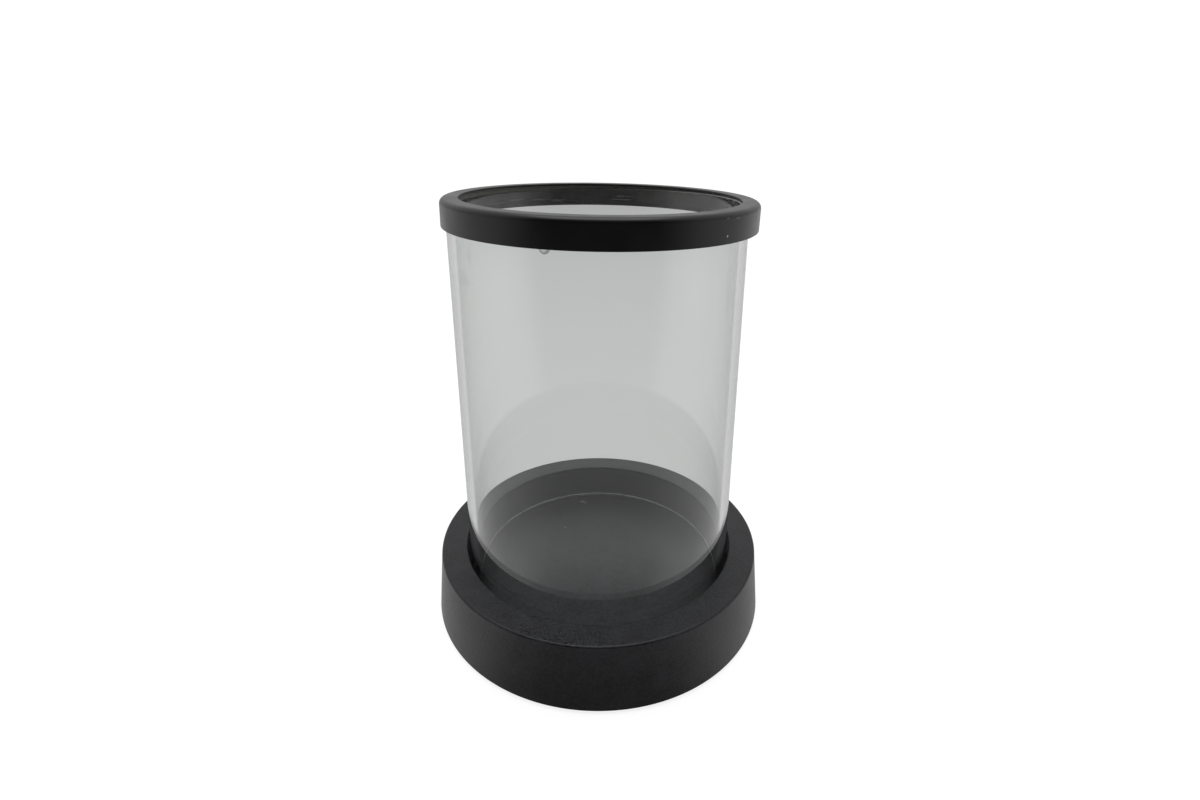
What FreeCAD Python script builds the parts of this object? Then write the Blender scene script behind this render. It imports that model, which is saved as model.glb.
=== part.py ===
import FreeCAD, Part
import os
import Sketcher

# A hurricane candle holder: a round base with a recess, a glass chimney that
# stands loose in the recess, and a rim ring glued over the chimney's top edge.
# Millimetres, +Z up. The origin is the centre of the circle on which the felt
# pads rest, so the whole object stands on the plane Z = 0.

SIZES = {
    # base, a moulded disc whose wall leans inwards towards the top
    "base_bottom_radius": 69.3,
    "base_top_radius": 66.8,
    "base_height": 26.2,
    "base_edge_round": 0.9,
    "recess_radius": 56.2,
    "recess_depth": 14.6,
    "recess_edge_round": 0.4,
    # felt pads under the base
    "pad_radius": 6.0,
    "pad_thickness": 1.2,
    "pad_circle_radius": 54.0,
    # glass chimney, cut from 110 mm tube
    "glass_outer_radius": 55.0,
    "glass_wall": 3.0,
    "glass_length": 156.4,
    "glass_edge_chamfer": 0.4,
    # rim ring, a skirt outside the glass and a lip over its top edge
    "ring_outer_radius": 57.7,
    "ring_skirt_radius": 56.2,
    "ring_opening_radius": 51.1,
    "ring_height": 9.8,
    "ring_lip": 0.9,
    "ring_outer_round": 2.0,
    "ring_inner_round": 0.4,
    "ring_small_round": 0.2,
    # the ring is glued on askew: pushed towards +X, and lower on that side
    "ring_seat_height": 160.3,
    "ring_push": 0.9,
    "ring_lean": 1.04,
    # adhesive between the ring and the glass
    "glue_depth": 6.9,
    "glue_inner_radius": 52.5,
}

PAD_COUNT = 4
CLOSE = 1e-4

doc = FreeCAD.newDocument("CandleHolder")
sheet = doc.addObject("Spreadsheet::Sheet", "Sizes")
for row, (alias, size) in enumerate(SIZES.items(), start=1):
    sheet.set(f"A{row}", alias)
    sheet.set(f"B{row}", str(size))
    sheet.setAlias(f"B{row}", alias)
doc.recompute()


def formula(text):
    """Turn a formula on bare size names into one that reads them from the sheet."""
    words = [f"Sizes.{word}" if word in SIZES else word for word in text.split()]
    return " ".join(words)


def value(text):
    """The present value of a formula on size names."""
    return float(sheet.evalExpression(formula(text)))


def bind(thing, path, text):
    """Drive one property of an object from the sheet."""
    thing.setExpression(path, formula(text))


def origin_plane(body, role):
    """The body's own XY_Plane, XZ_Plane or YZ_Plane."""
    for feature in body.Origin.OriginFeatures:
        if feature.Role == role:
            return feature
    raise ValueError(role)


def new_body(label):
    """An empty body, named as its sub-part is."""
    body = doc.addObject("PartDesign::Body", label)
    body.Label = label
    return body


def new_sketch(body, name, plane):
    """An empty sketch on one of the body's origin planes."""
    sketch = body.newObject("Sketcher::SketchObject", name)
    sketch.AttachmentSupport = [(origin_plane(body, plane), "")]
    sketch.MapMode = "FlatFace"
    return sketch


def pin_corner(sketch, line, kind, axis, text):
    """Hold a line's first point on an axis, or at a distance that the sheet gives."""
    if text == "0":
        sketch.addConstraint(Sketcher.Constraint("PointOnObject", line, 1, axis))
        return
    number = sketch.addConstraint(Sketcher.Constraint(kind, -1, 1, line, 1, value(text)))
    bind(sketch, f"Constraints[{number}]", text)


def outline_sketch(body, name, corners):
    """A closed outline in the XZ plane. Each corner is two formulas, across and up."""
    sketch = new_sketch(body, name, "XZ_Plane")
    places = [FreeCAD.Vector(value(across), value(up), 0) for across, up in corners]
    for start, end in zip(places, places[1:] + places[:1]):
        sketch.addGeometry(Part.LineSegment(start, end), False)
    for line in range(len(corners)):
        following = (line + 1) % len(corners)
        sketch.addConstraint(Sketcher.Constraint("Coincident", line, 2, following, 1))
    for line, (across, up) in enumerate(corners):
        pin_corner(sketch, line, "DistanceX", -2, across)
        pin_corner(sketch, line, "DistanceY", -1, up)
    return sketch


def circle_sketch(body, name, radii):
    """Circles about the origin in the XY plane, one for each formula."""
    sketch = new_sketch(body, name, "XY_Plane")
    upwards = FreeCAD.Vector(0, 0, 1)
    for circle, radius in enumerate(radii):
        sketch.addGeometry(Part.Circle(FreeCAD.Vector(), upwards, value(radius)), False)
        sketch.addConstraint(Sketcher.Constraint("Coincident", circle, 3, -1, 1))
        number = sketch.addConstraint(Sketcher.Constraint("Radius", circle, value(radius)))
        bind(sketch, f"Constraints[{number}]", radius)
    return sketch


def turned_body(label, corners):
    """A body that is one outline turned about its own Z axis."""
    body = new_body(label)
    sketch = outline_sketch(body, f"{label}_outline", corners)
    turned = body.newObject("PartDesign::Revolution", f"{label}_turned")
    turned.Profile = sketch
    turned.ReferenceAxis = (sketch, ["V_Axis"])
    turned.Angle = 360
    doc.recompute()
    return body


def round_edges(body, radius, height):
    """Names of the circular edges of this radius at this height on the body's last feature."""
    names = []
    for number, edge in enumerate(body.Tip.Shape.Edges, start=1):
        curve = edge.Curve
        if not isinstance(curve, Part.Circle):
            continue
        if abs(curve.Radius - value(radius)) < CLOSE and abs(curve.Center.z - value(height)) < CLOSE:
            names.append(f"Edge{number}")
    if not names:
        raise ValueError(f"{body.Label} has no edge of radius {radius} at {height}")
    return names


def dress_edges(body, kind, name, edges, path, size):
    """A Fillet or Chamfer on edges given as (radius, height) formulas."""
    names = [found for radius, height in edges for found in round_edges(body, radius, height)]
    before = body.Tip
    dressing = body.newObject(f"PartDesign::{kind}", name)
    dressing.Base = (before, names)
    bind(dressing, path, size)
    body.Tip = dressing
    doc.recompute()


def make_base():
    """The round base with its recess, standing on the pads."""
    body = turned_body("base", [
        ("0", "0"),
        ("base_bottom_radius", "0"),
        ("base_top_radius", "base_height"),
        ("recess_radius", "base_height"),
        ("recess_radius", "base_height - recess_depth"),
        ("0", "base_height - recess_depth"),
    ])
    outer_edges = [("base_bottom_radius", "0"), ("base_top_radius", "base_height")]
    dress_edges(body, "Fillet", "base_outer_rounds", outer_edges, "Radius", "base_edge_round")
    mouth = [("recess_radius", "base_height")]
    dress_edges(body, "Fillet", "recess_mouth_round", mouth, "Radius", "recess_edge_round")
    bind(body, ".Placement.Base.z", "pad_thickness")
    return body


def make_felt_pads():
    """Round pads stuck under the base, evenly spaced on a circle."""
    pads = []
    for number in range(PAD_COUNT):
        pad = doc.addObject("Part::Cylinder", f"felt_pad_{number + 1}")
        bind(pad, "Radius", "pad_radius")
        bind(pad, "Height", "pad_thickness")
        angle = 360 / PAD_COUNT * (number + 0.5)
        bind(pad, ".Placement.Base.x", f"pad_circle_radius * cos( {angle} )")
        bind(pad, ".Placement.Base.y", f"pad_circle_radius * sin( {angle} )")
        pads.append(pad)
    group = doc.addObject("Part::Compound", "felt_pads")
    group.Label = "felt_pads"
    group.Links = pads
    return group


def make_glass_tube():
    """The glass chimney: a length of tube, ground and chamfered at both ends."""
    body = new_body("glass_tube")
    sketch = circle_sketch(body, "glass_section", ["glass_outer_radius", "glass_outer_radius - glass_wall"])
    pad = body.newObject("PartDesign::Pad", "glass_length")
    pad.Profile = sketch
    bind(pad, "Length", "glass_length")
    doc.recompute()
    ends = [
        (radius, height)
        for radius in ("glass_outer_radius", "glass_outer_radius - glass_wall")
        for height in ("0", "glass_length")
    ]
    dress_edges(body, "Chamfer", "glass_ground_edges", ends, "Size", "glass_edge_chamfer")
    bind(body, ".Placement.Base.z", "pad_thickness + base_height - recess_depth")
    return body


def seat_on_ring_axis(thing, height):
    """Place an object on the ring's own leaning axis, at a height along it."""
    thing.Placement = FreeCAD.Placement(
        FreeCAD.Vector(),
        FreeCAD.Rotation(FreeCAD.Vector(0, 1, 0), value("ring_lean")),
    )
    bind(thing, ".Placement.Rotation.Angle", "ring_lean")
    bind(thing, ".Placement.Base.x", f"ring_push + ( {height} ) * sin( ring_lean )")
    bind(thing, ".Placement.Base.z", f"pad_thickness + ring_seat_height + ( {height} ) * cos( ring_lean )")


def make_rim_ring():
    """The rim ring: a skirt round the glass and a lip that turns in over its top edge."""
    under_lip = "ring_height - ring_lip"
    body = turned_body("rim_ring", [
        ("ring_skirt_radius", "0"),
        ("ring_outer_radius", "0"),
        ("ring_outer_radius", "ring_height"),
        ("ring_opening_radius", "ring_height"),
        ("ring_opening_radius", under_lip),
        ("ring_skirt_radius", under_lip),
    ])
    outer_top = [("ring_outer_radius", "ring_height")]
    dress_edges(body, "Fillet", "ring_outer_round", outer_top, "Radius", "ring_outer_round")
    inner_top = [("ring_opening_radius", "ring_height")]
    dress_edges(body, "Fillet", "ring_inner_round", inner_top, "Radius", "ring_inner_round")
    small = [("ring_outer_radius", "0"), ("ring_skirt_radius", "0"), ("ring_opening_radius", under_lip)]
    dress_edges(body, "Fillet", "ring_small_rounds", small, "Radius", "ring_small_round")
    seat_on_ring_axis(body, "0")
    return body


def ring_cylinder(name, radius):
    """A cylinder as tall as the glue is deep, up against the underside of the ring's lip."""
    cylinder = doc.addObject("Part::Cylinder", name)
    bind(cylinder, "Radius", radius)
    bind(cylinder, "Height", "glue_depth")
    seat_on_ring_axis(cylinder, "ring_height - ring_lip - glue_depth")
    return cylinder


def cut(name, kept, removed):
    """One Part boolean: kept without removed."""
    result = doc.addObject("Part::Cut", name)
    result.Base = kept
    result.Tool = removed
    return result


def make_rim_adhesive():
    """The clear glue that fills the leaning gap between the ring and the upright glass."""
    filled = ring_cylinder("glue_outside", "ring_skirt_radius")
    hollow = ring_cylinder("glue_inside", "glue_inner_radius")
    glass = doc.addObject("Part::Cylinder", "glass_space")
    bind(glass, "Radius", "glass_outer_radius")
    bind(glass, "Height", "glass_length")
    bind(glass, ".Placement.Base.z", "pad_thickness + base_height - recess_depth")
    bead = cut("glue_band", filled, hollow)
    adhesive = cut("rim_adhesive", bead, glass)
    adhesive.Label = "rim_adhesive"
    return adhesive


def check_document():
    """Stop if any object failed to build."""
    for thing in doc.Objects:
        if "Invalid" in thing.State or "Error" in thing.State:
            raise RuntimeError(f"{thing.Name} is {thing.State}")


def check_dressings():
    """Stop if a fillet or chamfer took nothing away from the feature before it."""
    for thing in doc.Objects:
        if thing.TypeId not in ("PartDesign::Fillet", "PartDesign::Chamfer"):
            continue
        if thing.Shape.Volume >= thing.BaseFeature.Shape.Volume:
            raise RuntimeError(f"{thing.Name} changed nothing")


sub_parts = [
    make_base(),
    make_felt_pads(),
    make_glass_tube(),
    make_rim_ring(),
    make_rim_adhesive(),
]
doc.recompute()
check_document()
check_dressings()

os.makedirs("parts", exist_ok=True)
for sub_part in sub_parts:
    shape = sub_part.Shape
    if shape.isNull() or not shape.isValid():
        raise RuntimeError(f"{sub_part.Label} has no valid shape")
    shape.exportStep(f"parts/{sub_part.Label}.step")
    box = shape.BoundBox
    print(
        f"{sub_part.Label}: {len(shape.Solids)} solid(s), {shape.Volume:.1f} mm3,"
        f" X {box.XMin:.2f} to {box.XMax:.2f}, Z {box.ZMin:.2f} to {box.ZMax:.2f}"
    )
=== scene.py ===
import math

import bmesh
import bpy
from mathutils import Matrix, Vector, noise


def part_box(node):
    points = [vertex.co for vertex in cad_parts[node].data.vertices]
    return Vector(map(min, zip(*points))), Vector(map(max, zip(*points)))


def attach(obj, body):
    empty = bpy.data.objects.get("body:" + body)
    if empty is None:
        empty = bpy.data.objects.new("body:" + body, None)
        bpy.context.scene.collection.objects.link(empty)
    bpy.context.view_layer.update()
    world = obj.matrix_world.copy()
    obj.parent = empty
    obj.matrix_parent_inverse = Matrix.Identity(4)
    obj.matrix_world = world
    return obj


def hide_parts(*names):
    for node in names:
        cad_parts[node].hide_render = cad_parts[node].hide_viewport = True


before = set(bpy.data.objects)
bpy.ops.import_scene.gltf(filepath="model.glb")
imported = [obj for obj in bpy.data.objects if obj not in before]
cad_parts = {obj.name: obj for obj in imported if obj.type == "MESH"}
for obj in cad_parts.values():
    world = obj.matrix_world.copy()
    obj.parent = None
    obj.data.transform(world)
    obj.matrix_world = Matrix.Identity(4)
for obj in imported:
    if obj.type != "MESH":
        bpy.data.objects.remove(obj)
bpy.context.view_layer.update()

# A hurricane candle holder: a matt black base, a loose glass chimney and a black ring glued over its rim.
# Metres, +Z up. The base and the glass share one upright axis; only the ring leans, and sits a little aside.

MM = 0.001

# ---------------------------------------------------------------- sizes

# sizes that the parts' boxes don't give
BASE_BOTTOM_RADIUS = 69.3 * MM
BASE_TOP_RADIUS = 66.8 * MM
BASE_EDGE_ROUND = 0.9 * MM
RECESS_RADIUS = 56.2 * MM
RECESS_DEPTH = 14.6 * MM
RECESS_EDGE_ROUND = 0.4 * MM
GLASS_WALL = 3.0 * MM
GLASS_CHAMFER = 0.4 * MM
RING_SKIRT_RADIUS = 56.2 * MM
RING_OUTER_RADIUS = 57.7 * MM
RING_OPENING_RADIUS = 51.1 * MM
RING_HEIGHT = 9.8 * MM
RING_LIP = 0.9 * MM
RING_OUTER_ROUND = 2.0 * MM
RING_INNER_ROUND = 0.4 * MM
RING_SMALL_ROUND = 0.2 * MM
RING_PUSH = 0.9 * MM
RING_LEAN = math.radians(1.04)
GLUE_DEPTH = 6.9 * MM
GLUE_INNER_RADIUS = 52.5 * MM
PAD_RADIUS = 6.0 * MM
PAD_CIRCLE_RADIUS = 54.0 * MM
PAD_EDGE_ROUND = 0.3 * MM

# sizes that they do give
base_low, base_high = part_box("base")
pad_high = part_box("felt_pads")[1]
glass_low, glass_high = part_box("glass_tube")
ring_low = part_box("rim_ring")[0]
GLASS_RADIUS = glass_high[0]
GLASS_BOTTOM = glass_low[2]
GLASS_TOP = glass_high[2]
PAD_THICKNESS = pad_high[2]
BASE_BOTTOM = base_low[2]
BASE_TOP = base_high[2]
RECESS_FLOOR = BASE_TOP - RECESS_DEPTH
# the ring's box starts at the lower edge of its low side
RING_SEAT = ring_low[2] + (RING_OUTER_RADIUS - RING_SMALL_ROUND) * math.sin(RING_LEAN)

# how finely shapes are turned, and the small gap between touching skins
ROUND_STEPS = 360
SKIN = 0.02 * MM
# points this close are merged, or count as the same
MERGE_REACH = 1e-7
SAME_PLACE = 1e-6

# ---------------------------------------------------------------- stage

CAMERA_LENS = 19.19
CAMERA_BACK = -0.2395
CAMERA_UP = 0.1963
CAMERA_PITCH = 0.3281
CAMERA_ROLL = 0.003
CAMERA_SHIFT_X = 0.0025
CAMERA_SHIFT_Y = -0.0486
CAMERA_SENSOR = 36.0
CAMERA_CLIP = 0.01

# brightness of the room: level with the object, straight up, and in the dim part in front, which is wider
# higher up
ROOM_LEVEL = 0.5
ROOM_ABOVE = 0.95
ROOM_DIM = 0.07
DIM_FROM = 0.25
DIM_FULL = 0.85
DIM_WIDER = 0.8
# the floor as the object's own surfaces reflect it: at the sides, close to the base's front, and farther out
# in front. Close to the base's front and far out in front it carries painted shadow.
FLOOR_TONE = 0.7
FLOOR_SHADOW_CLOSE = 0.22
FLOOR_TONE_IN_FRONT = 0.58
FLOOR_CLOSE = 0.09
FLOOR_CLEAR = 0.13
FLOOR_DIM_FROM = 0.25
FLOOR_DIM_FULL = 0.7
# close to the base, the floor is dim only straight in front
CLOSE_DIM_FROM = 0.6
CLOSE_DIM_FULL = 1.0
# the front of the floor as the glass's far wall turns it back: dim, so that the base's dark reflection there
# doesn't stand out
FLOOR_TONE_TURNED_BACK = 0.25
TURNED_BACK_FROM = 0.2
TURNED_BACK_FULL = 0.6
# a ray through two walls of the glass passes four faces, and half a count tells one count from the next
FACES_OF_TWO_WALLS = 4
HALF_COUNT = 0.5
# the backdrop as it shows through the glass, near and far
THROUGH_NEAR = 0.59
THROUGH_FAR = 0.45
THROUGH_NEAR_AT = 0.5
THROUGH_FAR_AT = 1.5
# the backdrop and the floor as seen directly
WHITE = 1.05
FLOOR_SIZE = 20.0
FLOOR_PAINT = 0.95
FLOOR_GLOW = 1.22
FLOOR_GLOW_SHARE = 0.7
LAMP_PLACE = (0.0, 0.1, 2.0)
LAMP_SIZE = 1.6
LAMP_POWER = 14.0

# ---------------------------------------------------------------- how clear and black things bend light

PLASTIC_IOR = 1.45
GLASS_IOR = 1.5
# how steeply the glass's tint deepens towards edge on
EDGE_TINT_FALL = 3.5


# ---------------------------------------------------------------- node helpers

def new_material(name):
    """A material with an empty node tree, its output and one Principled shader."""
    material = bpy.data.materials.new(name)
    material.use_nodes = True
    nodes = material.node_tree.nodes
    nodes.clear()
    output = nodes.new("ShaderNodeOutputMaterial")
    shader = nodes.new("ShaderNodeBsdfPrincipled")
    material.node_tree.links.new(shader.outputs["BSDF"], output.inputs["Surface"])
    return material, shader


def add(tree, kind, **settings):
    """A new node with its properties set."""
    node = tree.nodes.new(kind)
    for name, setting in settings.items():
        setattr(node, name, setting)
    return node


def feed(tree, socket, source):
    """Link a socket to another node's socket, or set it to a plain value."""
    if isinstance(source, bpy.types.NodeSocket):
        tree.links.new(source, socket)
    else:
        socket.default_value = source


def sum_of(tree, operation, first, second):
    """The result of one sum."""
    node = add(tree, "ShaderNodeMath", operation=operation)
    feed(tree, node.inputs[0], first)
    feed(tree, node.inputs[1], second)
    return node.outputs[0]


def vector_sum(tree, operation, first, second=(0, 0, 0)):
    """The vector node that does one sum."""
    node = add(tree, "ShaderNodeVectorMath", operation=operation)
    feed(tree, node.inputs[0], first)
    feed(tree, node.inputs[1], second)
    return node


def ramp(tree, source, low, high, to_low=0.0, to_high=1.0, kind="SMOOTHSTEP"):
    """Map a value between two limits to another range, and hold it there outside them."""
    node = add(tree, "ShaderNodeMapRange", interpolation_type=kind)
    feed(tree, node.inputs["Value"], source)
    feed(tree, node.inputs["From Min"], low)
    feed(tree, node.inputs["From Max"], high)
    feed(tree, node.inputs["To Min"], to_low)
    feed(tree, node.inputs["To Max"], to_high)
    return node.outputs["Result"]


def mix_colour(tree, mask, first, second):
    """A colour between two others."""
    node = add(tree, "ShaderNodeMix", data_type="RGBA")
    feed(tree, node.inputs[0], mask)
    feed(tree, node.inputs[6], first)
    feed(tree, node.inputs[7], second)
    return node.outputs[2]


def mix_value(tree, mask, first, second):
    """A value between two others."""
    node = add(tree, "ShaderNodeMix", data_type="FLOAT")
    feed(tree, node.inputs[0], mask)
    feed(tree, node.inputs[2], first)
    feed(tree, node.inputs[3], second)
    return node.outputs[0]


def noise_value(tree, place, scale, detail=3.0, roughness=0.5):
    """Smooth noise with cells of 1 / scale metres."""
    node = add(tree, "ShaderNodeTexNoise")
    feed(tree, node.inputs["Vector"], place)
    feed(tree, node.inputs["Scale"], scale)
    node.inputs["Detail"].default_value = detail
    node.inputs["Roughness"].default_value = roughness
    return node.outputs["Fac"]


def split_place(tree, place):
    """The X, Y and Z of a place."""
    node = add(tree, "ShaderNodeSeparateXYZ")
    feed(tree, node.inputs[0], place)
    return node.outputs


def object_place(tree):
    """The point on the surface, in metres in the shared frame."""
    return add(tree, "ShaderNodeTexCoord").outputs["Object"]


def from_axis(tree, place):
    """How far a place is from the Z axis."""
    level = vector_sum(tree, "MULTIPLY", place, (1, 1, 0)).outputs[0]
    return vector_sum(tree, "LENGTH", level).outputs["Value"]


def bump(tree, shader, height, strength, distance):
    """Raise the surface by a height map."""
    node = add(tree, "ShaderNodeBump")
    node.inputs["Strength"].default_value = strength
    node.inputs["Distance"].default_value = distance
    feed(tree, node.inputs["Height"], height)
    feed(tree, shader.inputs["Normal"], node.outputs["Normal"])


# ---------------------------------------------------------------- shared effects

def new_group(name, inputs, outputs):
    """A shader node group with named sockets, its input node and its output node."""
    group = bpy.data.node_groups.new(name, "ShaderNodeTree")
    for socket, kind in inputs:
        group.interface.new_socket(name=socket, in_out="INPUT", socket_type=kind)
    for socket, kind in outputs:
        group.interface.new_socket(name=socket, in_out="OUTPUT", socket_type=kind)
    return group, add(group, "NodeGroupInput").outputs, add(group, "NodeGroupOutput").inputs


def use_group(tree, group, **values):
    """One use of a shared effect, with its own values. Underscores stand for spaces in the sockets' names."""
    node = add(tree, "ShaderNodeGroup", node_tree=group)
    for name, source in values.items():
        feed(tree, node.inputs[name.replace("_", " ")], source)
    return node.outputs


VECTOR = "NodeSocketVector"
FLOAT = "NodeSocketFloat"


def grain_effect():
    """Fine grain and broad uneven patches, each of a stated size."""
    group, given, result = new_group(
        "grain_and_patches",
        [("Place", VECTOR), ("Grain Size", FLOAT), ("Patch Size", FLOAT)],
        [("Grain", FLOAT), ("Patches", FLOAT)],
    )
    fine = sum_of(group, "DIVIDE", 1.0, given["Grain Size"])
    broad = sum_of(group, "DIVIDE", 1.0, given["Patch Size"])
    grain = noise_value(group, given["Place"], fine, 3.0, 0.6)
    patches = noise_value(group, given["Place"], broad, 3.0, 0.5)
    feed(group, result["Grain"], ramp(group, grain, 0.3, 0.7))
    feed(group, result["Patches"], ramp(group, patches, 0.3, 0.7))
    return group


def specks_effect():
    """Scattered round specks: one in a share of the cells has one."""
    group, given, result = new_group(
        "specks",
        [("Place", VECTOR), ("Spacing", FLOAT), ("Size", FLOAT), ("Share", FLOAT)],
        [("Specks", FLOAT)],
    )
    cells = add(group, "ShaderNodeTexVoronoi")
    feed(group, cells.inputs["Vector"], given["Place"])
    feed(group, cells.inputs["Scale"], sum_of(group, "DIVIDE", 1.0, given["Spacing"]))
    chance = add(group, "ShaderNodeSeparateColor")
    feed(group, chance.inputs[0], cells.outputs["Color"])
    reach = sum_of(group, "DIVIDE", given["Size"], given["Spacing"])
    reach = sum_of(group, "MULTIPLY", reach, chance.outputs[1])
    dot = sum_of(group, "LESS_THAN", cells.outputs["Distance"], reach)
    chosen = sum_of(group, "LESS_THAN", chance.outputs[0], given["Share"])
    feed(group, result["Specks"], sum_of(group, "MULTIPLY", dot, chosen))
    return group


def blot_effect():
    """One soft blot round a centre, with a ragged edge."""
    group, given, result = new_group(
        "blot",
        [
            ("Place", VECTOR), ("Centre", VECTOR), ("Reach", VECTOR),
            ("Softness", FLOAT), ("Raggedness", FLOAT), ("Rag Size", FLOAT),
        ],
        [("Blot", FLOAT)],
    )
    offset = vector_sum(group, "SUBTRACT", given["Place"], given["Centre"]).outputs[0]
    offset = vector_sum(group, "DIVIDE", offset, given["Reach"]).outputs[0]
    away = vector_sum(group, "LENGTH", offset).outputs["Value"]
    scale = sum_of(group, "DIVIDE", 1.0, given["Rag Size"])
    rag = sum_of(group, "SUBTRACT", noise_value(group, given["Place"], scale, 2.0), 0.5)
    away = sum_of(group, "ADD", away, sum_of(group, "MULTIPLY", rag, given["Raggedness"]))
    inside = sum_of(group, "SUBTRACT", 1.0, given["Softness"])
    feed(group, result["Blot"], ramp(group, away, 1.0, inside))
    return group


def ring_axes_effect():
    """A place measured from the leaning ring's own seat and axis."""
    group, given, result = new_group("ring_axes", [("Place", VECTOR)], [("Place", VECTOR)])
    turned = add(group, "ShaderNodeMapping", vector_type="TEXTURE")
    feed(group, turned.inputs["Vector"], given["Place"])
    turned.inputs["Location"].default_value = (RING_PUSH, 0.0, RING_SEAT)
    turned.inputs["Rotation"].default_value = (0.0, RING_LEAN, 0.0)
    feed(group, result["Place"], turned.outputs["Vector"])
    return group


GRAIN = grain_effect()
SPECKS = specks_effect()
BLOT = blot_effect()
RING_AXES = ring_axes_effect()


def blots(tree, place, marks):
    """Several blots as one mask, from a list of marks."""
    mask = None
    for centre, reach, softness, raggedness, rag_size in marks:
        blot = use_group(
            tree, BLOT, Place=place, Centre=Vector(centre) * MM, Reach=Vector(reach) * MM,
            Softness=softness, Raggedness=raggedness, Rag_Size=rag_size * MM,
        )["Blot"]
        mask = blot if mask is None else sum_of(tree, "MAXIMUM", mask, blot)
    return mask


# ---------------------------------------------------------------- materials

def base_material():
    """Moulded matt black with a fine cool speckle and pale dust. The slot round the glass is painted a
    lighter grey: painted light that lifts its shade.
    """
    material, shader = new_material("matt_black_base")
    tree = material.node_tree
    place = object_place(tree)
    grain = use_group(tree, GRAIN, Place=place, Grain_Size=1.1 * MM, Patch_Size=9.0 * MM)
    tone = mix_value(tree, 0.4, grain["Grain"], grain["Patches"])
    colour = mix_colour(tree, tone, (0.0, 0.0, 0.0, 1), (0.021, 0.021, 0.024, 1))
    dust = use_group(tree, SPECKS, Place=place, Spacing=7.0 * MM, Size=0.32 * MM, Share=0.18)["Specks"]
    colour = mix_colour(tree, dust, colour, (0.16, 0.16, 0.16, 1))
    away = from_axis(tree, place)
    slot_ends = RECESS_RADIUS + 1.5 * RECESS_EDGE_ROUND
    slot_full = RECESS_RADIUS + 0.75 * RECESS_EDGE_ROUND
    slot = sum_of(
        tree, "MULTIPLY", ramp(tree, away, GLASS_RADIUS - 1 * MM, GLASS_RADIUS),
        ramp(tree, away, slot_ends, slot_full),
    )
    level = split_place(tree, place)["Z"]
    sunk = ramp(tree, level, BASE_TOP - RECESS_EDGE_ROUND, BASE_TOP - 3 * RECESS_EDGE_ROUND)
    # painted light: the slot between the glass and the recess wall, below the top, is painted a lighter grey
    # to lift the shade in it
    painted_light_in_slot = sum_of(tree, "MULTIPLY", slot, sunk)
    colour = mix_colour(tree, painted_light_in_slot, colour, (0.05, 0.05, 0.054, 1))
    marks = blots(tree, place, BASE_DUST)
    feed(tree, shader.inputs["Base Color"], mix_colour(tree, marks, colour, (0.6, 0.6, 0.6, 1)))
    feed(tree, shader.inputs["Roughness"], mix_value(tree, slot, mix_value(tree, tone, 0.33, 0.43), 0.75))
    shader.inputs["IOR"].default_value = PLASTIC_IOR
    shader.inputs["Specular Tint"].default_value = (0.95, 0.95, 1.0, 1)
    bump(tree, shader, grain["Grain"], 0.35, 0.1 * MM)
    return material


def ring_material():
    """Smooth satin black: a film of glue inside its skirt, painted highlights at its front right as pale,
    rougher patches, and one pale nick.
    """
    material, shader = new_material("satin_black_ring")
    tree = material.node_tree
    place = use_group(tree, RING_AXES, Place=object_place(tree))["Place"]
    grain = use_group(tree, GRAIN, Place=place, Grain_Size=0.7 * MM, Patch_Size=12.0 * MM)
    colour = mix_colour(tree, grain["Patches"], (0.001, 0.001, 0.001, 1), (0.002, 0.002, 0.0021, 1))
    away = from_axis(tree, place)
    inside_from = RING_SKIRT_RADIUS + 3 * RING_SMALL_ROUND
    inside = ramp(tree, away, inside_from, RING_SKIRT_RADIUS + RING_SMALL_ROUND)
    film = sum_of(tree, "MULTIPLY", inside, blots(tree, place, GLUE_FILM))
    colour = mix_colour(tree, film, colour, (0.03, 0.03, 0.028, 1))
    # painted highlight: pale patches at the front right, near the top, stand in for highlights; they are also
    # rougher
    painted_glints = blots(tree, place, RING_PAINTED_GLINTS)
    colour = mix_colour(tree, painted_glints, colour, (0.12, 0.12, 0.118, 1))
    nick = blots(tree, place, RING_NICK)
    feed(tree, shader.inputs["Base Color"], mix_colour(tree, nick, colour, (0.55, 0.55, 0.52, 1)))
    rough = mix_value(tree, grain["Patches"], 0.27, 0.34)
    feed(tree, shader.inputs["Roughness"], mix_value(tree, painted_glints, rough, 0.55))
    shader.inputs["IOR"].default_value = PLASTIC_IOR
    bump(tree, shader, grain["Grain"], 0.1, 0.03 * MM)
    return material


def glass_material():
    """Clear glass with a trace of green, deeper where it is seen edge on, and a few faint finger smudges."""
    material, shader = new_material("clear_glass")
    tree = material.node_tree
    smudges = blots(tree, object_place(tree), GLASS_SMUDGES)
    facing = add(tree, "ShaderNodeLayerWeight").outputs["Facing"]
    edge_on = sum_of(tree, "POWER", facing, EDGE_TINT_FALL)
    colour = mix_colour(tree, smudges, (0.97, 0.985, 0.975, 1), (0.86, 0.87, 0.86, 1))
    colour = mix_colour(tree, edge_on, colour, (0.02, 0.03, 0.025, 1))
    feed(tree, shader.inputs["Base Color"], colour)
    feed(tree, shader.inputs["Roughness"], mix_value(tree, smudges, 0.0, 0.08))
    shader.inputs["Transmission Weight"].default_value = 1.0
    shader.inputs["IOR"].default_value = GLASS_IOR
    return material


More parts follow.
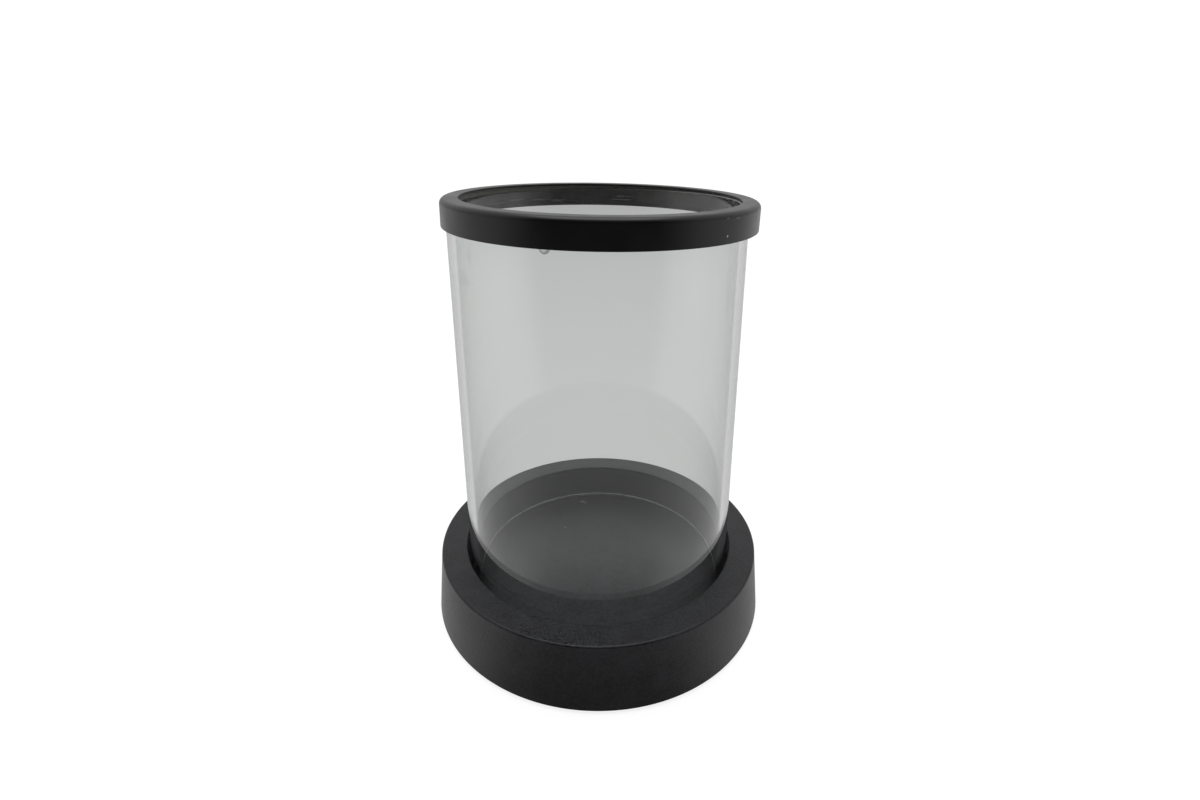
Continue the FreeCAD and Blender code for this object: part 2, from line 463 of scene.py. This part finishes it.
def ground_glass_material():
    """The glass tube's cut ends, ground to a pale frosted edge. Glue has darkened the top one."""
    material, shader = new_material("ground_glass_edge")
    tree = material.node_tree
    place = object_place(tree)
    grain = use_group(tree, GRAIN, Place=place, Grain_Size=0.5 * MM, Patch_Size=4.0 * MM)
    tone = mix_value(tree, 0.6, grain["Grain"], grain["Patches"])
    colour = mix_colour(tree, tone, (0.7, 0.76, 0.75, 1), (0.92, 0.97, 0.96, 1))
    level = split_place(tree, place)["Z"]
    glued = ramp(tree, level, GLASS_TOP - 3 * GLASS_CHAMFER, GLASS_TOP - 2 * GLASS_CHAMFER)
    feed(tree, shader.inputs["Base Color"], mix_colour(tree, glued, colour, (0.3, 0.31, 0.3, 1)))
    feed(tree, shader.inputs["Roughness"], mix_value(tree, tone, 0.5, 0.7))
    bump(tree, shader, grain["Grain"], 0.5, 0.05 * MM)
    return material


def glue_material():
    """Clear glue over the black skirt: hazy where it is full of air, dark where it has wetted out, with pale
    smears, painted highlights along its lower edge and painted light under the lip.
    """
    material, shader = new_material("clear_glue")
    tree = material.node_tree
    upright = object_place(tree)
    place = use_group(tree, RING_AXES, Place=upright)["Place"]
    grain = use_group(tree, GRAIN, Place=place, Grain_Size=1.4 * MM, Patch_Size=7.0 * MM)
    hazy = mix_colour(tree, grain["Patches"], (0.085, 0.087, 0.077, 1), (0.105, 0.107, 0.095, 1))
    hazy = mix_colour(tree, sum_of(tree, "MULTIPLY", grain["Grain"], 0.25), hazy, (0.05, 0.051, 0.046, 1))
    wet = blots(tree, place, GLUE_WET)
    colour = mix_colour(tree, wet, hazy, (0.013, 0.013, 0.012, 1))
    # darker along the glue's lower edge at the back
    colour = mix_colour(tree, blots(tree, place, GLUE_DARK_LOW_BAND), colour, (0.04, 0.04, 0.037, 1))
    # painted light: the glue above the glass's top end, under the lip, is painted pale grey to lift the shade
    # the lip casts there
    painted_light_under_lip = ramp(tree, split_place(tree, upright)["Z"], GLASS_TOP - GLASS_CHAMFER, GLASS_TOP)
    colour = mix_colour(tree, painted_light_under_lip, colour, (0.17, 0.17, 0.155, 1))
    # pale marks: some are glue smears; those along the lower edge at the back left are painted highlights of
    # the glue's rim
    smears_and_glints = blots(tree, place, GLUE_SMEARS_AND_GLINTS)
    smears_and_glints = sum_of(tree, "MULTIPLY", smears_and_glints, mix_value(tree, grain["Grain"], 0.6, 1.0))
    feed(tree, shader.inputs["Base Color"], mix_colour(tree, smears_and_glints, colour, (0.4, 0.4, 0.4, 1)))
    feed(tree, shader.inputs["Roughness"], mix_value(tree, wet, 0.55, 0.3))
    bump(tree, shader, grain["Grain"], 0.15, 0.06 * MM)
    return material


def glue_drop_material():
    """A drop of the same glue: nearly clear in the middle, grey round its rim."""
    material, shader = new_material("glue_drop")
    tree = material.node_tree
    place = object_place(tree)
    grain = use_group(tree, GRAIN, Place=place, Grain_Size=0.6 * MM, Patch_Size=2.5 * MM)
    colour = mix_colour(tree, grain["Patches"], (0.12, 0.12, 0.11, 1), (0.2, 0.2, 0.18, 1))
    feed(tree, shader.inputs["Base Color"], colour)
    middle = blots(tree, place, DROP_MIDDLE)
    feed(tree, shader.inputs["Alpha"], mix_value(tree, middle, 0.34, 0.03))
    shader.inputs["Roughness"].default_value = 0.15
    return material


def felt_material():
    """Short black felt."""
    material, shader = new_material("pad_felt")
    tree = material.node_tree
    grain = use_group(tree, GRAIN, Place=object_place(tree), Grain_Size=0.35 * MM, Patch_Size=2.0 * MM)
    tone = mix_value(tree, 0.3, grain["Grain"], grain["Patches"])
    colour = mix_colour(tree, tone, (0.012, 0.012, 0.013, 1), (0.06, 0.06, 0.062, 1))
    feed(tree, shader.inputs["Base Color"], colour)
    feed(tree, shader.inputs["Roughness"], mix_value(tree, tone, 0.85, 1.0))
    shader.inputs["Sheen Weight"].default_value = 0.4
    bump(tree, shader, grain["Grain"], 0.8, 0.2 * MM)
    return material


# Marks: (centre, reach, softness, raggedness, rag size), in mm. The base's, the glass's and the drop's are in
# the shared frame. The ring's and the glue's are measured from the ring's own seat.
DUST_LEVEL = RECESS_FLOOR / MM
BASE_DUST = [
    ((-8.3, 46.4, DUST_LEVEL), (0.9, 0.35, 0.5), 0.5, 0.4, 0.5),
    ((-6.8, 45.2, DUST_LEVEL), (0.45, 0.3, 0.5), 0.5, 0.4, 0.5),
    ((-16.0, 23.9, DUST_LEVEL), (0.3, 0.3, 0.5), 0.5, 0.4, 0.5),
    ((-29.2, 31.4, DUST_LEVEL), (0.3, 0.25, 0.5), 0.5, 0.4, 0.5),
]
# painted highlights on the ring's front right
RING_PAINTED_GLINTS = [
    ((39.0, -42.5, 8.1), (0.7, 0.9, 0.34), 0.7, 0.5, 0.8),
    ((42.9, -38.6, 7.7), (1.7, 1.9, 0.32), 0.7, 0.6, 0.9),
]
GLUE_FILM = [((0.0, 56.2, 0.6), (54.0, 60.0, 3.0), 0.3, 0.2, 3.0)]
RING_NICK = [((39.2, -42.3, 2.6), (0.48, 0.48, 0.44), 0.5, 0.3, 0.4)]
GLASS_SMUDGES = [
    ((-41.0, -36.7, 156.5), (3.0, 3.0, 4.5), 0.9, 0.8, 3.0),
    ((-44.5, -32.3, 147.5), (5.0, 5.0, 4.0), 0.9, 0.8, 3.0),
    ((43.5, -33.7, 143.0), (2.0, 2.5, 11.0), 0.9, 0.9, 4.0),
    ((-18.0, -52.0, 137.3), (0.3, 0.3, 0.3), 0.5, 0.2, 0.5),
]
GLUE_WET = [
    ((-3.0, 56.2, 4.5), (23.5, 14.0, 9.0), 0.3, 0.45, 5.0),
    ((38.0, -41.0, 4.0), (18.0, 18.0, 5.0), 0.4, 0.6, 5.0),
]
GLUE_DARK_LOW_BAND = [((-24.0, 50.0, 1.0), (34.0, 40.0, 1.6), 0.25, 0.15, 3.0)]
# glue smears, and painted highlights along the glue's lower edge at the back left
GLUE_SMEARS_AND_GLINTS = [
    ((-37.0, 42.5, 3.2), (6.0, 6.0, 0.3), 0.6, 0.2, 1.0),
    ((-27.5, 49.0, 2.8), (7.0, 6.0, 0.3), 0.6, 0.2, 1.0),
    ((-19.0, 52.9, 2.4), (4.5, 4.0, 0.38), 0.5, 0.2, 1.0),
    ((-23.6, 51.0, 7.3), (0.6, 2.0, 1.3), 0.6, 0.5, 0.8),
    ((11.5, 55.0, 2.9), (7.0, 4.0, 0.3), 0.5, 0.3, 1.0),
    ((12.0, 55.0, 4.2), (6.5, 4.0, 0.55), 0.8, 1.3, 1.4),
]
DROP_CENTRE = (-15.6, -52.8, 161.75)
DROP_REACH = (1.8, 0.35, 1.85)
DROP_MIDDLE = [((-15.9, -52.7, 162.4), (1.7, 4.0, 2.05), 0.45, 0.2, 1.5)]


# ---------------------------------------------------------------- shaping helpers

def finish_piece(name, shape, materials, body, sharp_angle=math.radians(30)):
    """Turn a bmesh into a piece at the origin that rides on a body."""
    bmesh.ops.remove_doubles(shape, verts=shape.verts, dist=MERGE_REACH)
    bmesh.ops.recalc_face_normals(shape, faces=shape.faces)
    mesh = bpy.data.meshes.new(name)
    shape.to_mesh(mesh)
    shape.free()
    mesh.shade_smooth()
    mesh.set_sharp_from_angle(angle=sharp_angle)
    piece = bpy.data.objects.new(name, mesh)
    bpy.context.scene.collection.objects.link(piece)
    for material in materials:
        mesh.materials.append(material)
    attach(piece, body)
    return piece


def turned_shape(outline, closed=True):
    """An outline of (radius, height) points turned about Z. An open one starts and ends on the axis."""
    shape = bmesh.new()
    corners = [shape.verts.new((radius, 0, height)) for radius, height in outline]
    edges = [shape.edges.new(pair) for pair in zip(corners, corners[1:])]
    if closed:
        edges.append(shape.edges.new((corners[-1], corners[0])))
    bmesh.ops.spin(
        shape, geom=corners + edges, cent=(0, 0, 0), axis=(0, 0, 1),
        angle=math.tau, steps=ROUND_STEPS, use_merge=True, use_duplicate=False,
    )
    return shape


def is_at(corner, radius, height):
    """True if a point of a turned shape is at this radius and height."""
    off_radius = abs(math.hypot(corner.co.x, corner.co.y) - radius)
    off_height = abs(corner.co.z - height)
    return off_radius < SAME_PLACE and off_height < SAME_PLACE


def round_edge(shape, radius, height, size, segments):
    """Round one of a turned shape's circular edges."""
    edges = [e for e in shape.edges if all(is_at(v, radius, height) for v in e.verts)]
    bmesh.ops.bevel(
        shape, geom=edges, offset=size, offset_type="OFFSET", affect="EDGES",
        segments=segments, profile=0.5, material=-1,
    )


def lean_with_ring(shape):
    """Move a shape from the ring's own axes to where the ring sits."""
    seat = Matrix.Translation((RING_PUSH, 0, RING_SEAT)) @ Matrix.Rotation(RING_LEAN, 4, "Y")
    bmesh.ops.transform(shape, matrix=seat, verts=shape.verts)


def wander(angle, lobes, seed):
    """A smooth value between about -1 and 1 that comes back to its start after one turn."""
    return noise.noise(Vector((math.cos(angle) * lobes, math.sin(angle) * lobes, seed)))


def even_shading(piece):
    """Keep flats flat where a small round meets them."""
    weighted = piece.modifiers.new("even_shading", "WEIGHTED_NORMAL")
    weighted.keep_sharp = True


# ---------------------------------------------------------------- pieces

def make_base(black):
    """The base: a wall with a slight draft, a flat top and a round recess for the glass."""
    shape = turned_shape([
        (0, BASE_BOTTOM), (BASE_BOTTOM_RADIUS, BASE_BOTTOM), (BASE_TOP_RADIUS, BASE_TOP),
        (RECESS_RADIUS, BASE_TOP), (RECESS_RADIUS, RECESS_FLOOR), (0, RECESS_FLOOR),
    ], closed=False)
    round_edge(shape, BASE_BOTTOM_RADIUS, BASE_BOTTOM, BASE_EDGE_ROUND, 4)
    round_edge(shape, BASE_TOP_RADIUS, BASE_TOP, BASE_EDGE_ROUND, 4)
    round_edge(shape, RECESS_RADIUS, BASE_TOP, RECESS_EDGE_ROUND, 3)
    piece = finish_piece("turned_base", shape, [black], "base")
    even_shading(piece)
    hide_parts("base")


def make_glass(clear, ground):
    """The chimney, turned from its wall's section. Its ends are ground, and the ground edge wanders."""
    outer = GLASS_RADIUS
    inner = GLASS_RADIUS - GLASS_WALL
    cut = GLASS_CHAMFER
    outline = [
        (inner + cut, GLASS_BOTTOM), (outer - cut, GLASS_BOTTOM),
        (outer, GLASS_BOTTOM + cut), (outer, GLASS_TOP - cut),
        (outer - cut, GLASS_TOP), (inner + cut, GLASS_TOP),
        (inner, GLASS_TOP - cut), (inner, GLASS_BOTTOM + cut),
    ]
    shape = turned_shape(outline)
    ground_reach = 1.5 * cut
    for face in shape.faces:
        middle = face.calc_center_median()
        near_bottom = middle.z < GLASS_BOTTOM + ground_reach
        near_top = middle.z > GLASS_TOP - ground_reach
        face.material_index = 1 if near_bottom or near_top else 0
    for corner in shape.verts:
        angle = math.atan2(corner.co.y, corner.co.x)
        uneven = (wander(angle, 4.0, 0.3) + 0.6 * wander(angle, 14.0, 5.1)) * 0.5 * cut
        if is_at(corner, inner, GLASS_BOTTOM + cut):
            corner.co.z += uneven
        if is_at(corner, inner, GLASS_TOP - cut):
            corner.co.z -= uneven
    piece = finish_piece("chimney_glass", shape, [clear, ground], "chimney")
    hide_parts("glass_tube")


def make_ring(black):
    """The rim ring: a skirt round the glass and a lip that turns in over its top edge."""
    under_lip = RING_HEIGHT - RING_LIP
    shape = turned_shape([
        (RING_SKIRT_RADIUS, 0), (RING_OUTER_RADIUS, 0), (RING_OUTER_RADIUS, RING_HEIGHT),
        (RING_OPENING_RADIUS, RING_HEIGHT), (RING_OPENING_RADIUS, under_lip),
        (RING_SKIRT_RADIUS, under_lip),
    ])
    round_edge(shape, RING_OUTER_RADIUS, RING_HEIGHT, RING_OUTER_ROUND, 6)
    round_edge(shape, RING_OPENING_RADIUS, RING_HEIGHT, RING_INNER_ROUND, 5)
    round_edge(shape, RING_OUTER_RADIUS, 0, RING_SMALL_ROUND, 3)
    round_edge(shape, RING_SKIRT_RADIUS, 0, RING_SMALL_ROUND, 3)
    round_edge(shape, RING_OPENING_RADIUS, under_lip, RING_SMALL_ROUND, 3)
    lean_with_ring(shape)
    piece = finish_piece("leaning_rim_ring", shape, [black], "chimney")
    even_shading(piece)
    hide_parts("rim_ring")


def make_glue(glue):
    """The glue between the ring and the glass. Its lower edge sags unevenly inside the skirt."""
    under_lip = RING_HEIGHT - RING_LIP
    low = under_lip - GLUE_DEPTH
    skirt = RING_SKIRT_RADIUS - SKIN
    wall = GLASS_RADIUS + SKIN
    above_glass = GLASS_TOP + SKIN - RING_SEAT
    shape = turned_shape([
        (wall, low), (skirt, low), (skirt, under_lip - SKIN), (GLUE_INNER_RADIUS, under_lip - SKIN),
        (GLUE_INNER_RADIUS, above_glass), (wall, above_glass),
    ])
    on_glass = [v for v in shape.verts if is_at(v, wall, low) or is_at(v, wall, above_glass)]
    over_end = [v for v in shape.verts if is_at(v, GLUE_INNER_RADIUS, above_glass)]
    lower_edge = [v for v in shape.verts if is_at(v, wall, low) or is_at(v, skirt, low)]
    for corner in lower_edge:
        angle = math.atan2(corner.co.y, corner.co.x)
        corner.co.z += (0.55 * wander(angle, 2.0, 2.7) + 0.2 * wander(angle, 9.0, 8.3)) * MM
    lean_with_ring(shape)
    for corner in on_glass:
        across = corner.co.xy.normalized() * wall
        corner.co.x, corner.co.y = across
    for corner in on_glass + over_end:
        if corner.co.z > GLASS_TOP - 2 * MM:
            corner.co.z = GLASS_TOP + SKIN
    piece = finish_piece("glue_band", shape, [glue], "chimney")
    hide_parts("rim_adhesive")


def make_glue_drop(grey):
    """A flat drop of glue on the glass, squeezed out under the skirt at the front left."""
    shape = bmesh.new()
    bmesh.ops.create_icosphere(shape, subdivisions=4, radius=1.0)
    bmesh.ops.scale(shape, vec=Vector(DROP_REACH) * MM, verts=shape.verts)
    place = Vector(DROP_CENTRE) * MM
    turn = math.atan2(place.y, place.x) + math.pi / 2
    outward = place.xy.normalized() * GLASS_RADIUS
    stand = Matrix.Translation((outward.x, outward.y, place.z)) @ Matrix.Rotation(turn, 4, "Z")
    bmesh.ops.transform(shape, matrix=stand, verts=shape.verts)
    for corner in shape.verts:
        across = corner.co.xy
        outside = max(across.length, GLASS_RADIUS + SKIN)
        corner.co.x, corner.co.y = across.normalized() * outside
    finish_piece("glue_drop", shape, [grey], "chimney", math.pi)


def make_felt_feet(felt):
    """Four stuck-on felt discs, soft at their rims."""
    shape = bmesh.new()
    for quarter in range(4):
        angle = math.radians(45 + 90 * quarter)
        across = PAD_CIRCLE_RADIUS * math.cos(angle)
        along = PAD_CIRCLE_RADIUS * math.sin(angle)
        middle = Vector((across, along, PAD_THICKNESS / 2))
        disc = bmesh.ops.create_cone(
            shape, cap_ends=True, segments=72, radius1=PAD_RADIUS, radius2=PAD_RADIUS,
            depth=PAD_THICKNESS, matrix=Matrix.Translation(middle),
        )
        rim = {
            e for v in disc["verts"] for e in v.link_edges
            if abs(e.verts[0].co.z - e.verts[1].co.z) < SKIN
        }
        bmesh.ops.bevel(
            shape, geom=list(rim), offset=PAD_EDGE_ROUND, offset_type="OFFSET", affect="EDGES",
            segments=3, profile=0.5, material=-1,
        )
    for corner in shape.verts:
        across = math.copysign(PAD_CIRCLE_RADIUS, corner.co.x)
        along = math.copysign(PAD_CIRCLE_RADIUS, corner.co.y)
        inward = Vector((across, along)) * math.sqrt(0.5) - corner.co.xy
        corner.co.xy += inward * (0.02 + 0.02 * noise.noise(corner.co / (0.8 * MM)))
    piece = finish_piece("felt_feet", shape, [felt], "base", math.radians(50))
    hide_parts("felt_pads")


# ---------------------------------------------------------------- making the stage

def light_paths(tree):
    """Two masks: the ray comes straight from the camera, and it has met nothing but clear glass."""
    path = add(tree, "ShaderNodeLightPath")
    bounces = sum_of(tree, "ADD", path.outputs["Glossy Depth"], path.outputs["Diffuse Depth"])
    return path.outputs["Is Camera Ray"], sum_of(tree, "LESS_THAN", bounces, HALF_COUNT)


def through_two_walls(tree):
    """A mask: the ray has come out through a second wall of the glass."""
    faces = add(tree, "ShaderNodeLightPath").outputs["Transmission Depth"]
    return sum_of(tree, "GREATER_THAN", faces, FACES_OF_TWO_WALLS - HALF_COUNT)


def make_room():
    """A soft room, dim in front. It is white where it is seen directly, and pale through the glass."""
    world = bpy.data.worlds.new("soft_room")
    bpy.context.scene.world = world
    world.use_nodes = True
    tree = world.node_tree
    tree.nodes.clear()
    direction = split_place(tree, add(tree, "ShaderNodeTexCoord").outputs["Generated"])
    level = ramp(tree, direction["Z"], 0.0, 1.0, ROOM_LEVEL, ROOM_ABOVE, "LINEAR")
    wider = ramp(tree, direction["Z"], 0.0, 1.0, -1.0, -1.0 - DIM_WIDER, "LINEAR")
    frontal = sum_of(tree, "MULTIPLY", direction["Y"], wider)
    room = mix_value(tree, ramp(tree, frontal, DIM_FROM, DIM_FULL), level, ROOM_DIM)
    from_camera, straight = light_paths(tree)
    indirect = mix_value(tree, straight, room, THROUGH_FAR)
    background = add(tree, "ShaderNodeBackground")
    background.inputs["Color"].default_value = (1, 1, 1, 1)
    feed(tree, background.inputs["Strength"], mix_value(tree, from_camera, indirect, WHITE))
    output = add(tree, "ShaderNodeOutputWorld")
    feed(tree, output.inputs["Surface"], background.outputs[0])


def floor_material():
    """Pale paint that glows a little, so that it stays even. In reflections its glow carries painted shadow:
    dim close to the base's front and dim over its far front.
    """
    material = bpy.data.materials.new("pale_floor")
    material.use_nodes = True
    tree = material.node_tree
    tree.nodes.clear()
    place = object_place(tree)
    distance = vector_sum(tree, "LENGTH", place).outputs["Value"]
    forward = sum_of(tree, "MULTIPLY", split_place(tree, place)["Y"], -1.0)
    frontal = sum_of(tree, "DIVIDE", forward, distance)
    # painted shadow: the glow seen in reflections is dimmer close to the base's front, and dimmer far out in
    # front
    close = ramp(tree, distance, FLOOR_CLOSE, FLOOR_CLEAR, FLOOR_SHADOW_CLOSE, FLOOR_TONE_IN_FRONT)
    front = ramp(tree, distance, FLOOR_DIM_FROM, FLOOR_DIM_FULL, close, ROOM_DIM)
    dim_from = ramp(tree, distance, FLOOR_CLEAR, FLOOR_DIM_FROM, CLOSE_DIM_FROM, DIM_FROM)
    dim_full = ramp(tree, distance, FLOOR_CLEAR, FLOOR_DIM_FROM, CLOSE_DIM_FULL, DIM_FULL)
    reflected = mix_value(tree, ramp(tree, frontal, dim_from, dim_full), FLOOR_TONE, front)
    through = ramp(tree, distance, THROUGH_NEAR_AT, THROUGH_FAR_AT, THROUGH_NEAR, THROUGH_FAR)
    from_camera, straight = light_paths(tree)
    in_front = ramp(tree, frontal, TURNED_BACK_FROM, TURNED_BACK_FULL)
    turned_back = sum_of(tree, "MULTIPLY", through_two_walls(tree), in_front)
    reflected = mix_value(tree, turned_back, reflected, FLOOR_TONE_TURNED_BACK)
    indirect = mix_value(tree, straight, reflected, through)
    paint = add(tree, "ShaderNodeBsdfDiffuse")
    paint.inputs["Color"].default_value = (FLOOR_PAINT, FLOOR_PAINT, FLOOR_PAINT, 1)
    glow = add(tree, "ShaderNodeEmission")
    feed(tree, glow.inputs["Strength"], mix_value(tree, from_camera, indirect, FLOOR_GLOW))
    blend = add(tree, "ShaderNodeMixShader")
    feed(tree, blend.inputs[0], mix_value(tree, from_camera, 1.0, FLOOR_GLOW_SHARE))
    feed(tree, blend.inputs[1], paint.outputs[0])
    feed(tree, blend.inputs[2], glow.outputs[0])
    output = add(tree, "ShaderNodeOutputMaterial")
    feed(tree, output.inputs["Surface"], blend.outputs[0])
    return material


def make_floor():
    """The floor the object stands on, wide enough to have no edge in sight."""
    shape = bmesh.new()
    bmesh.ops.create_grid(shape, x_segments=1, y_segments=1, size=FLOOR_SIZE)
    mesh = bpy.data.meshes.new("floor")
    shape.to_mesh(mesh)
    shape.free()
    floor = bpy.data.objects.new("floor", mesh)
    bpy.context.scene.collection.objects.link(floor)
    mesh.materials.append(floor_material())


def make_camera():
    """The camera, a little above the rim ring and close in front."""
    camera = bpy.data.objects.new("camera", bpy.data.cameras.new("camera"))
    bpy.context.scene.collection.objects.link(camera)
    camera.location = (0.0, CAMERA_BACK, CAMERA_UP)
    camera.rotation_euler = (math.pi / 2 - CAMERA_PITCH, CAMERA_ROLL, 0.0)
    camera.data.sensor_width = CAMERA_SENSOR
    camera.data.lens = CAMERA_LENS
    camera.data.shift_x = CAMERA_SHIFT_X
    camera.data.shift_y = CAMERA_SHIFT_Y
    camera.data.clip_start = CAMERA_CLIP
    bpy.context.scene.camera = camera


def make_lamp():
    """One large soft lamp overhead, aimed at the object."""
    lamp = bpy.data.objects.new("overhead", bpy.data.lights.new("overhead", "AREA"))
    bpy.context.scene.collection.objects.link(lamp)
    lamp.data.size = LAMP_SIZE
    lamp.data.energy = LAMP_POWER
    lamp.location = LAMP_PLACE
    lamp.rotation_euler = (-Vector(LAMP_PLACE)).to_track_quat("-Z", "Y").to_euler()


# ---------------------------------------------------------------- the scene

bpy.context.scene.view_settings.view_transform = "Standard"

make_camera()
make_room()
make_floor()
make_lamp()

make_base(base_material())
make_felt_feet(felt_material())
make_glass(glass_material(), ground_glass_material())
make_ring(ring_material())
make_glue(glue_material())
make_glue_drop(glue_drop_material())
